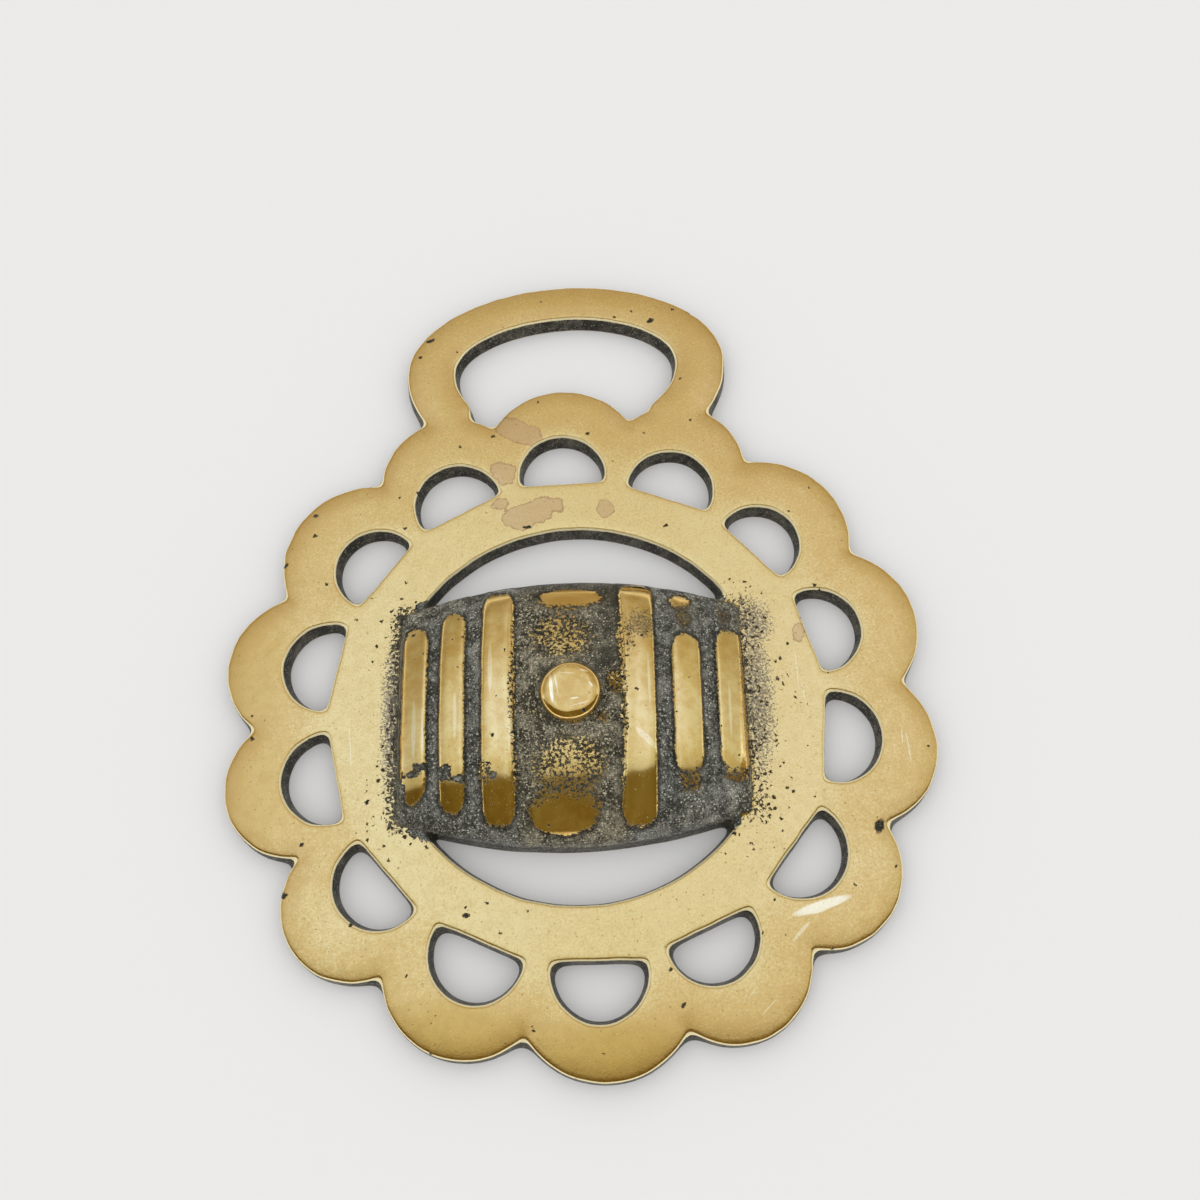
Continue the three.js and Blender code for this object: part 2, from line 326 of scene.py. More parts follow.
def outer_outline():
    hanger = oval(*HANGER_OUTSIDE)
    right, left = border_points(180, 10), border_points(350, 180)
    right = right[~within_oval(right, *HANGER_OUTSIDE)]
    left = left[~within_oval(left, *HANGER_OUTSIDE)]
    return np.vstack([right, hanger[beyond_border(hanger)], left[:-1]])


def slot_outline():
    top = np.vstack([oval(*RIGHT_POCKET), oval(*HANGER_INSIDE), oval(*LEFT_POCKET)])
    top = top[beyond_border(top)]
    foot = border_points(-20, 20)
    return np.vstack([top, foot[inside(foot, np.vstack([top, [(0, 30)]]))]])


def opening_outline(lobe):
    shift, radius, left, right = OPENING_CUTS[lobe]
    start = math.asin((right - OPENING_CENTRES) / radius)
    end = math.pi - math.asin((left - OPENING_CENTRES) / radius)
    t = np.linspace(start, end, 90)
    arc = np.column_stack([shift + radius * np.cos(t), OPENING_CENTRES + radius * np.sin(t)])
    return turned(arc, -math.radians(lobe * LOBE_TURN))


def cask_half_width(along):
    return CASK_WIDTH - CASK_TAPER * along**2


def crescent_outline(side):
    along = side * np.linspace(CRESCENT_REACH, -CRESCENT_REACH, 160)
    cask = turned(np.column_stack([along, side * cask_half_width(along)]), CASK_TURN) + (CASK_X, CASK_Y)
    centre = np.array([0, -RING_DROP])
    first, last = cask[0] - centre, cask[-1] - centre
    start, end = math.atan2(last[1], last[0]), math.atan2(first[1], first[0])
    t = np.linspace(start, end if end < start else end - 2 * math.pi, 160)
    ring = centre + RING_INSIDE * np.column_stack([np.cos(t), np.sin(t)])
    return np.vstack([cask, ring])[::-1]


# ------------------------------
# Heights of the face.


def cask_place(points):
    """Each point's place along the cask and across it."""
    local = turned(points - (CASK_X, CASK_Y), -CASK_TURN)
    return local[:, 0], local[:, 1]


def cask_crown(along):
    return CASK_HEIGHT * (1 - (1 - CASK_END) * (np.abs(along) / CASK_LENGTH) ** CROWN_CURVE)


def hoop_depths(points, along, across):
    """For each hoop: how far inside its edges each place is, and its place from -1 to 1 across the hoop."""
    uneven = waves(points, HOOP_EDGE_WAVES)
    for start, end, start_lean, end_lean, bow, _, _ in HOOPS:
        first = start + start_lean * across - bow * across**2
        last = end + end_lean * across
        yield np.minimum(along - first, last - along) + uneven, (2 * along - first - last) / (last - first)


def cask_relief(points, along, across):
    """How far the cask's surface lies below its hoops."""
    hoop = np.zeros(len(along))
    rounding = np.zeros(len(along))
    for depth, place in hoop_depths(points, along, across):
        rise = smooth_step(depth, *HOOP_SIDE)
        hoop = np.maximum(hoop, rise)
        rounding += rise * HOOP_ROUND * place**4
    facet = np.maximum(along - FACET_START - FACET_LEAN * across, 0)
    rounding += FACET_SLOPE * facet * hoop
    rounding += HOOP_WAVES * hoop * grain(points / (1.2, 4.5), 1, 5.5)
    on_belly = np.abs(along) < BELLY_HALF
    low = np.where(on_belly, BELLY_RELIEF, HOOP_RELIEF)
    margin = BELLY_STEP * smooth_step(np.abs(along), *BELLY_MARGIN) * on_belly
    return (low + margin) * (1 - hoop) + rounding


def cask_height(points):
    """Height above the plate, below nought where there is no cask."""
    along, across = cask_place(points)
    across_share = np.abs(across) / (cask_half_width(along) + CASK_SPREAD)
    section = np.sqrt(np.maximum(1 - across_share**SECTION_CURVE, 0))
    relief = cask_relief(points, along, across) * smooth_step(section, 0.05, 0.35)
    height = cask_crown(along) * section - relief
    head_start, head_end = HEAD_SLOPE
    head = smooth_step(np.abs(along), CASK_LENGTH + head_start, CASK_LENGTH + head_end)
    height = height * (1 - head) - HEAD_DEPTH * head
    return np.where(across_share < 1, height, -1)


# Lumps in the casting beside the bung: place along and across the cask, size, height.
LUMPS = (
    (3.8, 1.9, 0.5, 0.6),
    (4.5, 1.5, 0.45, 0.9),
    (5.1, 1.0, 0.5, 0.85),
    (4.3, 0.5, 0.4, 0.55),
    (5.4, 0.1, 0.4, 0.6),
    (4.9, 2.5, 0.45, 0.5),
    (3.5, -2.1, 0.45, 0.65),
    (2.8, -2.9, 0.4, 0.5),
    (4.1, -1.3, 0.4, 0.45),
    (2.0, -3.6, 0.35, 0.35),
)


def lumps(along, across):
    total = np.zeros(len(along))
    for x, y, size, height in LUMPS:
        total += height * np.exp(-(((along - x) ** 2 + (across - y) ** 2) / size**2))
    return total


def face_height(points, outer, slot, openings, crescents):
    """The face: a plate with softly rounded borders, and the cask."""
    plate = np.full(len(points), PLATE)
    edges = ([outer], LOBE_FALL), ([slot], SLOT_FALL), (openings, OPENING_FALL), (crescents, RING_FALL)
    for loops, (reach, drop) in edges:
        plate -= drop * np.clip(1 - distance_to(points, loops) / reach, 0, 1) ** 2
    plate += waves(points, FACE_WAVES) - FACE_SPARE
    along, across = cask_place(points)
    cask = cask_height(points) + lumps(along, across)
    corner = np.clip(1 - np.abs(cask - (plate - PLATE)) / FILLET_REACH, 0, 1)
    return np.maximum(plate, PLATE + cask) + FILLET_RISE * corner**2


# ------------------------------
# Finish: where the brass is clean, where it is grimy, and where it is stained.

# Patches worn clean on the belly and a hoop: place along and across the cask, and half-sizes.
WORN = ((0.0, 11.9, 3.4, 1.35), (-1.0, -11.9, 3.5, 2.05), (12.3, 11.2, 1.1, 0.9))
# Thick grime on the cask: place along and across, half-sizes.
DIRT = (
    (-13.6, -7.3, 0.95, 0.9),
    (-12.3, -8.1, 0.9, 0.4),
    (-9.2, -7.0, 0.7, 0.5),
    (-8.3, -7.9, 0.5, 0.3),
    (-9.5, -8.4, 0.5, 0.35),
    (-19.5, -9.6, 1.7, 2.8),
    (-16.1, -6.7, 0.9, 0.35),
    (-17.2, -7.2, 1.0, 0.3),
    (3.9, -0.9, 0.8, 1.6),
)
# Zones where grime and bright brass are speckled together: place, half-sizes, and how clean they are.
SPECKLED = (
    (-0.9, 6.9, 4.6, 3.9, -0.03),
    (-0.4, -7.4, 5.2, 4.4, 0.05),
    (-6.3, 0.3, 0.5, 4.8, 0.12),
    (6.4, 6.2, 1.5, 3.2, 0.22),
    (4.8, 1.3, 1.5, 1.6, 0.05),
    (3.2, -2.5, 1.2, 0.8, -0.1),
    (5.6, -2.5, 0.5, 2.0, 0.0),
    (12.6, 9.0, 1.3, 1.5, 0.0),
    (17.3, 9.6, 1.4, 1.3, -0.14),
    (12.3, -9.3, 1.5, 1.3, -0.05),
    (17.2, -8.5, 1.7, 0.8, 0.0),
    (-3.6, -1.0, 2.2, 4.5, -0.5),
    (19.7, 0.5, 0.5, 8.0, 0.0),
    (-9.3, -7.4, 0.6, 1.2, 0.1),
)
# Where the dirt on the cask is roughest: place along and across, half-sizes, how rough. Round the bung's
# lumps, values above 1 also paint shade and highlights for their relief.
GRIT_AND_LUMP_SHADING = (
    (-2.4, 8.0, 6.5, 6.0, 1.15),
    (-0.4, -7.8, 8.0, 7.5, 1.15),
    (-4.6, 0.0, 2.4, 11.0, 0.95),
    (4.8, 0.6, 2.6, 3.2, 1.35),
    (3.2, -2.6, 2.4, 2.0, 1.3),
    (0.0, -14.2, 14.0, 2.6, 1.0),
)
# Thin grey grime: place along and across, half-sizes, strength.
HAZE = (
    (7.9, 8.2, 2.0, 2.0, 0.6),
    (12.9, 9.2, 2.2, 1.8, 0.95),
    (17.3, 9.5, 2.4, 2.0, 0.95),
    (20.4, 1.0, 2.2, 9.5, 0.62),
    (20.6, 9.5, 2.6, 3.2, 0.6),
    (-20.0, 0.0, 1.3, 10.0, 0.62),
)
# Where the brass is deeper in colour than elsewhere, or paler (minus): place from the middle of the
# ring, half-sizes, how much.
TONES = (
    (1.0, -37.0, 8.5, 4.5, 0.95),
    (-15.5, -34.0, 8.0, 4.5, 0.8),
    (-36.0, 8.0, 4.5, 7.0, 0.45),
    (-35.5, -7.0, 4.0, 6.0, 0.35),
    (33.0, -19.0, 5.0, 6.0, -0.45),
    (-29.0, -23.0, 4.0, 5.0, -0.25),
    (-0.7, 11.0, 5.0, 2.0, 0.8),
    (6.8, -10.5, 2.5, 3.5, -0.8),
)
# The dirt on the plate past the cask's left and right ends: where along the cask it is thickest, over
# what half-width, and how far its torn edge and its specks reach.
DIRTY_ENDS = (19.0, 19.4)
DIRTY_HALF_WIDTH = 11.5
TORN_REACH = (2.0, 2.6)
STREWN_REACH = (2.6, 3.4)
# More specks: place along and across the cask, half-sizes, share of the cells that hold one.
STREWN = ((-21.0, -11.5, 2.5, 4.0, 0.3), (23.5, -3.0, 2.5, 6.0, 0.12))
# Tarnish on the plate: place from the middle of the ring, half-sizes, turn in degrees.
STAINS = (
    (-5.0, 34.6, 3.3, 1.6, -28),
    (-6.9, 29.3, 1.4, 1.6, 25),
    (-3.9, 23.6, 3.8, 1.6, 14),
    (-7.6, 25.2, 1.6, 0.8, 30),
    (4.8, 23.2, 0.95, 1.05, 20),
    (25.5, 6.0, 0.9, 1.3, 0),
)


def ellipse_depth(x, y, cx, cy, rx, ry):
    """Roughly how far inside an ellipse each place is, in millimetres."""
    return (1 - np.hypot((x - cx) / rx, (y - cy) / ry)) * min(rx, ry)


def corner_depth(a, b, corner):
    """How far inside two straight edges with a round corner, from the distances to the edges."""
    return corner - np.hypot(np.maximum(corner - a, 0), np.maximum(corner - b, 0))


def blot(x, y, cx, cy, rx, ry):
    """A soft round weight, 1 in the middle and fading towards the half-sizes."""
    return np.exp(-((((x - cx) / rx) ** 2 + ((y - cy) / ry) ** 2) ** 1.6))


def greatest(x, y, patches):
    """The greatest of some blots, each with its own strength."""
    return np.max([strength * blot(x, y, *patch) for *patch, strength in patches], axis=0)


def cask_finish(points, along, across):
    """How clean and how torn the cask's skin is."""
    clean = np.full(len(points), -0.9)
    ends = waves(points, POLISH_WAVES)
    for hoop, (depth, _) in zip(HOOPS, hoop_depths(points, along, across)):
        low, high = hoop[-2:]
        beyond = (np.minimum(across - low, high - across) + ends) * 0.6
        clean = np.maximum(clean, corner_depth(depth, beyond, 1.3))
    wobble = waves(points, GRIME_WAVES)
    for patch in WORN:
        clean = np.maximum(clean, ellipse_depth(along, across, *patch) + 0.5 * wobble)
    for patch in DIRT:
        clean = np.minimum(clean, -ellipse_depth(along, across, *patch) + wobble)
    torn = np.full(len(points), 0.22)
    for *patch, level in SPECKLED:
        here = blot(along, across, *patch)
        clean += here * (level - clean)
        torn = np.maximum(torn, np.sqrt(here))
    return clean, torn


def plate_finish(along, across):
    """How clean and how torn the plate is round the cask's ends, and how thickly specks are strewn."""
    left = along < 0
    past_end = np.maximum(np.abs(along) - np.where(left, *DIRTY_ENDS), 0)
    past_corner = np.maximum(np.abs(across) - DIRTY_HALF_WIDTH, 0)
    away = np.hypot(past_end, past_corner * 0.9)
    clean = np.where(left, (away - 0.9) * 0.7, 0.3 * away + 0.02)
    torn = 0.1 + 0.9 * np.exp(-((away / np.where(left, *TORN_REACH)) ** 2))
    strewn = np.where(left, 0.3, 0.5) * np.exp(-((away / np.where(left, *STREWN_REACH)) ** 2))
    for *patch, share in STREWN:
        strewn += share * blot(along, across, *patch)
    return np.clip(clean, -0.8, 1.5), torn, strewn


def finish(points):
    """The values of each point's finish that the material reads."""
    along, across = cask_place(points)
    clean, torn = cask_finish(points, along, across)
    clean_plate, torn_plate, strewn = plate_finish(along, across)
    beside_cask = np.abs(across) < cask_half_width(along) + 1.2
    side_wall = (np.abs(along) < CRESCENT_REACH + 0.3) & beside_cask
    on_cask = (cask_height(points) > 0.12) | side_wall
    clean = np.where(on_cask, clean, clean_plate)
    torn = np.where(on_cask, torn, torn_plate)
    from_bung = np.hypot(points[:, 0] - CASK_X, points[:, 1] - BUNG_Y)
    clean = np.where(from_bung < BUNG_RADIUS + 0.02, 1.2, clean)
    groove = on_cask * smooth_step(np.abs(along), 5.4, 6.2)
    return {
        "clean": np.clip(clean, -1.5, 1.5),
        "torn": torn,
        "grit_and_lump_shading": np.maximum(greatest(along, across, GRIT_AND_LUMP_SHADING), 0.2 + 0.65 * groove),
        "strewn": np.where(on_cask, 0.03, np.maximum(strewn, 0.01)),
        "haze": greatest(along, across, HAZE),
        "cask": on_cask.astype(float),
        "groove": groove,
        "stain": stain_depth(points),
        "tone": sum(depth * blot(points[:, 0], points[:, 1], *patch) for *patch, depth in TONES),
    }


def stain_depth(points):
    depth = np.full(len(points), -2.0)
    wobble = waves(points, STAIN_WAVES)
    for cx, cy, rx, ry, turn in STAINS:
        local = turned(points - (cx, cy), -math.radians(turn))
        depth = np.maximum(depth, ellipse_depth(local[:, 0], local[:, 1], 0, 0, rx, ry) + wobble)
    return depth


# ------------------------------
# The mesh.


class Surface:
    """Gathers the vertices and faces of one closed surface."""

    def __init__(self):
        self.places = []
        self.faces = []

    def add(self, points, heights):
        """Adds vertices and returns their numbers."""
        start = len(self.places)
        self.places.extend(zip(points[:, 0], points[:, 1], np.broadcast_to(heights, len(points))))
        return np.arange(start, len(self.places))

    def band(self, upper, lower, side):
        """Faces between two rings of vertices. Side 1 looks away from the rings' middle, -1 towards it."""
        for a, b, c, d in zip(upper, lower, np.roll(lower, -1), np.roll(upper, -1)):
            self.faces.append((a, b, c, d) if side > 0 else (d, c, b, a))

    def cap(self, ring, centre, up):
        for a, b in zip(ring, np.roll(ring, -1)):
            self.faces.append((a, b, centre) if up else (b, a, centre))

    def fill(self, rings, holes, points, heights, up):
        """Fills the area between outlines with triangles. Rings are (loop, vertex numbers)."""
        loops = rings + holes
        numbers = np.concatenate([n for _, n in loops] + [self.add(points, heights)])
        flat = np.vstack([loop for loop, _ in loops] + [points])
        edges = []
        start = 0
        for loop, _ in loops:
            ring = range(start, start + len(loop))
            edges += zip(ring, [*ring[1:], start])
            start += len(loop)
        result = delaunay_2d_cdt([Vector(p) for p in flat], edges, [], 0, 1e-5)
        triangles, originals = np.array(result[2]), result[3]
        numbers = numbers[[original[0] for original in originals]]
        flat = np.array([tuple(v) for v in result[0]])
        middles = flat[triangles].mean(axis=1)
        keep = np.zeros(len(middles), bool)
        for loop, _ in rings:
            keep |= inside(middles, loop)
        for loop, _ in holes:
            keep &= ~inside(middles, loop)
        for a, b, c in numbers[triangles[keep]]:
            self.faces.append((a, b, c) if up else (c, b, a))


def lattice(step, outer, holes, gap, wanted=None):
    """Points at nearly even steps inside the outer outline, outside the holes, a gap away from both."""
    low, high = outer.min(axis=0), outer.max(axis=0)
    rows = np.arange(low[1], high[1], step * math.sqrt(3) / 2)
    columns = np.arange(low[0], high[0], step)
    x = columns[None, :] + step / 2 * (np.arange(len(rows)) % 2)[:, None]
    points = np.column_stack([x.ravel(), np.repeat(rows, len(columns))])
    points += np.random.default_rng(7).uniform(-0.12, 0.12, points.shape) * step
    if wanted is not None:
        points = points[wanted(points)]
    points = points[inside(points, outer)]
    for hole in holes:
        points = points[~inside(points, hole)]
    return points[distance_to(points, [outer, *holes]) > gap]


def cask_zone(points):
    along, across = cask_place(points)
    return (np.abs(along) < CASK_LENGTH + 0.9) & (np.abs(across) < cask_half_width(along) + 0.6)


# The bung's round side: offset from its radius, and share of its height.
BUNG_EDGE = (
    (0.34, 0),
    (0.14, 0.03),
    (0.05, 0.2),
    (0.0, 0.46),
    (-0.1, 0.66),
    (-0.32, 0.82),
    (-0.66, 0.925),
    (-1.05, 0.97),
    (-1.4, 0.985),
    (-1.75, 0.995),
    (-2.1, 1.0),
    (-2.45, 1.0),
    (-2.8, 1.0),
)
HOLLOW_LENGTH = CASK_LENGTH - HEAD_WALL
HOLLOW_SQUARE = 0.3  # the less, the squarer the corners of its mouth
# The hollow's rings, as shares of its mouth.
HOLLOW_RINGS = (0.994, 0.98, 0.95, 0.9, 0.83, 0.74, 0.63, 0.5, 0.34, 0.17)


def hollow_mouth():
    """The hollow's edge at the back, as places along and across the cask."""
    t = np.linspace(0, 2 * math.pi, 400, endpoint=False)
    along = HOLLOW_LENGTH * np.sign(np.cos(t)) * np.abs(np.cos(t)) ** HOLLOW_SQUARE
    half = cask_half_width(along) - CASK_WALL
    across = half * np.sign(np.sin(t)) * np.abs(np.sin(t)) ** HOLLOW_SQUARE
    return respaced(np.column_stack([along, across]), HOLLOW_SIDES)


def hollow_height(local):
    along, across = local[:, 0], local[:, 1]
    half = cask_half_width(along) - CASK_WALL
    section = np.sqrt(np.maximum(1 - (across / half) ** 2, 0))
    ends = np.maximum(1 - (np.abs(along) / HOLLOW_LENGTH) ** 10, 0) ** 0.35
    return (PLATE + cask_crown(along) - CASK_WALL) * section * ends


def build_casting():
    """The surface, the vertices of its walls, rims and hollow, and the outlines of border and slot."""
    surface = Surface()
    outer, slot = filed(outer_outline()), filed(slot_outline())
    openings = [filed(opening_outline(lobe), OPENING_EASING) for lobe in range(LOBES)]
    crescents = [filed(crescent_outline(side), CRESCENT_EASING) for side in (1, -1)]
    loops = [(outer, 1), *((loop, -1) for loop in (slot, *openings, *crescents))]

    def face(points):
        return face_height(points, outer, slot, openings, crescents)

    tops, backs, walls, rims = [], [], [], []
    for loop, side in loops:
        edge = []
        for offset, drop in EDGE_FACE:
            points = moved(loop, offset, side)
            heights = face(points) - drop
            edge.append(surface.add(points, heights))
            if len(edge) == 1:
                tops.append((points, edge[0]))
            else:
                surface.band(*edge[-2:], side)
        upper = edge[-1]
        rims += edge[RIM_RINGS]
        walls.append(upper)
        rim = heights
        for offset, share in EDGE_WALL:
            points = moved(loop, offset, side)
            ring = surface.add(points, rim * share)
            surface.band(upper, ring, side)
            upper = ring
            walls.append(ring)
        backs.append((points, ring))

    # The bung, then the rest of the face round it.
    centre = np.array([CASK_X, BUNG_Y])
    turn = np.linspace(0, 2 * math.pi, BUNG_SIDES, endpoint=False)
    circle = np.column_stack([np.cos(turn), np.sin(turn)])
    uneven = 1 + 0.012 * np.sin(2 * turn + 0.6)[:, None] + 0.006 * np.sin(5 * turn)[:, None]
    bung_top = PLATE + CASK_HEIGHT - BELLY_RELIEF + BUNG_HEIGHT - 0.08
    upper = None
    for offset, share in BUNG_EDGE:
        points = centre + circle * uneven * (BUNG_RADIUS + offset)
        top = bung_top - 0.16 * (1 - share) + waves(points, BUNG_WAVES)
        ring = surface.add(points, face(points) * (1 - share) + top * share)
        if upper is None:
            bung_foot = (points, ring)
        else:
            surface.band(ring, upper, 1)
        upper = ring
    surface.cap(upper, surface.add(centre[None, :], bung_top)[0], True)

    holes = [loop for loop, _ in tops[1:]] + [bung_foot[0]]
    plate = lattice(PLATE_STEP, tops[0][0], holes, PLATE_GAP, lambda p: ~cask_zone(p))
    cask = lattice(CASK_STEP, tops[0][0], holes, CASK_GAP, cask_zone)
    points = np.vstack([plate, cask])
    surface.fill(tops[:1], [*tops[1:], bung_foot], points, face(points), True)

    # The flat back, and the hollow behind the cask.
    mouth = hollow_mouth()
    middle = (CASK_X, CASK_Y)
    mouth_points = turned(mouth, CASK_TURN) + middle
    upper = surface.add(mouth_points, 0)
    hollow_start = upper[0]
    back_holes = [*backs[1:], (mouth_points, upper)]
    for share in HOLLOW_RINGS:
        points = turned(mouth * share, CASK_TURN) + middle
        ring = surface.add(points, hollow_height(mouth * share))
        surface.band(upper, ring, -1)
        upper = ring
    surface.cap(upper, surface.add(np.array([middle]), hollow_height(np.zeros((1, 2))))[0], False)
    points = lattice(BACK_STEP, backs[0][0], [loop for loop, _ in back_holes], BACK_GAP)
    rough = 0.05 * np.maximum(grain(points, 4, 51.0), 0)
    surface.fill(backs[:1], back_holes, points, rough, False)
    parts = {
        "walls": np.concatenate(walls),
        "rims": np.concatenate(rims),
        "behind": np.arange(hollow_start, len(surface.places)),
    }
    return surface, parts, [outer, slot]


# What the value named wall says.
WALL, BEHIND = 1, 2


def finish_values(places, parts, border):
    """The values that the material reads at each vertex."""
    flat = places[:, :2]
    values = finish(flat)
    wall = np.zeros(len(places))
    wall[parts["walls"]] = WALL
    wall[(cask_height(flat) > 0.5) & (places[:, 2] < 1.2)] = WALL
    wall[places[:, 2] < 0.06] = BEHIND
    wall[parts["behind"]] = BEHIND
    values["wall"] = wall
    # The rims that get the painted highlight.
    values["rim"] = np.zeros(len(places))
    values["rim"][parts["rims"]] = 1
    # The plate's colour is less deep towards its foot.
    paler_towards_foot = 1.3 * smooth_step(-flat[:, 1], 12, 32)
    values["border"] = np.minimum(distance_to(flat, border) + paler_towards_foot, 9)
    return values


surface, surface_parts, border_loops = build_casting()
places = np.array(surface.places)
values = finish_values(places, surface_parts, border_loops)

# The casting is set in the frame's place, inside the solid's box.
low, high = places.min(axis=0), places.max(axis=0)
box_low, box_high = np.array(cad_box)
fit = min(1.0, *((box_high - box_low) / MM / (high - low))[:2])
outline_middle = (low + high)[:2] / 2
places[:, :2] = (places[:, :2] - outline_middle) * fit
ring_middle = Vector((*(-outline_middle * fit * MM + (box_low + box_high)[:2] / 2), box_low[2]))
places = places * MM + [*(box_low + box_high)[:2] / 2, box_low[2]]

mesh = bpy.data.meshes.new("casting")
mesh.from_pydata(places.tolist(), [], [tuple(int(n) for n in face) for face in surface.faces])
mesh.shade_smooth()
for name, numbers in values.items():
    layer = mesh.attributes.new(name, "FLOAT", "POINT")
    layer.data.foreach_set("value", np.asarray(numbers, np.float32))
casting = bpy.data.objects.new("casting", mesh)
bpy.context.scene.collection.objects.link(casting)


# ------------------------------
# The brass and its grime.


class Nodes:
    """Short ways to add nodes to one material or world. Values may be sockets of other nodes."""

    def __init__(self, tree):
        self.tree = tree
        tree.nodes.clear()

    def add(self, kind, **inputs):
        node = self.tree.nodes.new(kind)
        for name, value in inputs.items():
            self.set(node.inputs[name.replace("_", " ")], value)
        return node

    def set(self, socket, value):
        if isinstance(value, bpy.types.NodeSocket):
            self.tree.links.new(value, socket)
        else:
            socket.default_value = value

    def maths(self, operation, *values):
        node = self.tree.nodes.new("ShaderNodeMath")
        node.operation = operation
        for socket, value in zip(node.inputs, values):
            self.set(socket, value)
        return node.outputs[0]

    def plus(self, first, second):
        return self.maths("ADD", first, second)

    def times(self, first, second):
        return self.maths("MULTIPLY", first, second)

    def ramp(self, value, low, high, to_low=0.0, to_high=1.0):
        """A smooth change from one value to another while the input goes from low to high."""
        node = self.tree.nodes.new("ShaderNodeMapRange")
        node.interpolation_type = "SMOOTHSTEP"
        for socket, number in zip(node.inputs, (value, low, high, to_low, to_high)):
            self.set(socket, number)
        return node.outputs[0]

    def mix(self, factor, first, second):
        """A mix of two colours, all the second one where the factor is 1."""
        node = self.tree.nodes.new("ShaderNodeMix")
        node.data_type = "RGBA"
        self.set(node.inputs["Factor"], factor)
        self.set(node.inputs[6], first)
        self.set(node.inputs[7], second)
        return node.outputs[2]

    def vector(self, operation, *values, output="Vector"):
        node = self.tree.nodes.new("ShaderNodeVectorMath")
        node.operation = operation
        for socket, value in zip(node.inputs, values):
            self.set(socket, value)
        return node.outputs[output]

    def noise(self, place, scale, detail=2.0, roughness=0.5, output=0):
        node = self.add("ShaderNodeTexNoise", Vector=place, Scale=scale, Detail=detail, Roughness=roughness)
        return node.outputs[output]

    def value(self, name):
        node = self.tree.nodes.new("ShaderNodeAttribute")
        node.attribute_name = name
        return node.outputs["Fac"]

    def cells(self, place, scale):
        """Irregular cells: the distance to each one's middle, and two random values for each."""
        node = self.add("ShaderNodeTexVoronoi", Vector=place, Scale=scale)
        chance = self.add("ShaderNodeSeparateColor", Color=node.outputs["Color"])
        return node.outputs["Distance"], chance.outputs[0], chance.outputs[1]

    def marks(self, place, spots):
        """Where any elliptical mark lies: each is its middle, half-length, half-width and turn."""
        total = 0.0
        for x, y, long, short, turn in spots:
            angle, size = (0, 0, math.radians(turn)), (long, short, DEEP)
            node = self.add("ShaderNodeMapping", Location=(x, y, 0), Rotation=angle, Scale=size)
            node.vector_type = "TEXTURE"
            self.set(node.inputs["Vector"], place)
            reach = self.vector("LENGTH", node.outputs[0], output="Value")
            total = self.maths("MAXIMUM", total, self.ramp(reach, 0.75, 1.15, 1.0, 0.0))
        return total


# A scale so large that a mark is the same at every height.
DEEP = 1000
# Dark pits, nicks and a chip: middle, half-length, half-width, turn.
NICKS = (
    (31.0, -15.9, 0.8, 0.5, 60),
    (-32.8, 19.2, 0.45, 0.25, 40),
    (-32.1, -18.3, 0.4, 0.3, 0),
    (-29.4, 25.3, 0.3, 0.25, 0),
    (-29.4, 22.7, 0.25, 0.2, 0),
    (12.5, 49.2, 0.5, 0.25, 15),
    (17.7, 50.3, 0.6, 0.3, -35),
    (-15.3, 48.5, 0.7, 0.25, 20),
    (-4.5, 21.8, 0.45, 0.2, -10),
    (11.7, 20.7, 0.3, 0.2, 30),
    (-13.2, -21.8, 0.35, 0.25, 0),
    (22.9, -18.9, 0.3, 0.25, 0),
    (8.4, -32.2, 0.3, 0.2, 50),
    (-3.7, -29.9, 0.25, 0.2, 0),
)
# Painted glints: highlights where the face and the bung catch the light. Middle, half-length, half-width,
# turn.
PAINTED_GLINTS = (
    (23.7, -23.6, 3.2, 0.52, 13),
    (23.1, -23.8, 1.6, 0.55, 10),
    (-2.65, -0.3, 1.6, 0.2, 92),
    (0.9, 1.35, 0.5, 0.12, -15),
    (1.5, -0.2, 0.35, 0.1, -60),
    (-0.3, -1.6, 0.45, 0.1, 5),
)
# Fine scratches on the plate and the bung, painted highlight streaks along the hoops, and a second, fainter
# painted highlight beside the big one.
SCRATCHES_AND_STREAKS = (
    (35.5, -7.6, 1.7, 0.09, 90),
    (35.0, -6.4, 1.0, 0.07, 84),
    (24.6, 2.0, 2.5, 0.06, 88),
    (25.0, -1.0, 1.6, 0.05, 91),
    (-25.2, -3.0, 2.4, 0.06, 93),
    (-27.5, 10.5, 1.6, 0.06, 48),
    (-25.8, 9.3, 1.3, 0.05, 42),
    (21.2, -26.0, 1.3, 0.2, 42),
    (-2.1, 0.1, 1.4, 0.09, 97),
    (-0.9, 1.2, 0.8, 0.07, -8),
    (0.3, -2.2, 1.1, 0.06, 12),
    (-7.4, -4.0, 2.6, 0.13, 88),
    (-9.1, 3.1, 2.8, 0.25, 88),
    (-17.7, -2.5, 3.2, 0.25, 88),
    (-16.8, -3.1, 2.8, 0.13, 88),
    (-13.1, -1.7, 2.6, 0.22, 88),
    (6.9, -5.9, 1.6, 0.35, -48),
    (7.7, 0.4, 3.0, 0.14, 87),
    (16.2, -3.0, 3.0, 0.16, 86),
    (17.0, -33.0, 1.1, 0.06, 40),
    (15.4, -31.6, 0.8, 0.05, 52),
    (-12.5, 30.0, 1.1, 0.06, 60),
)

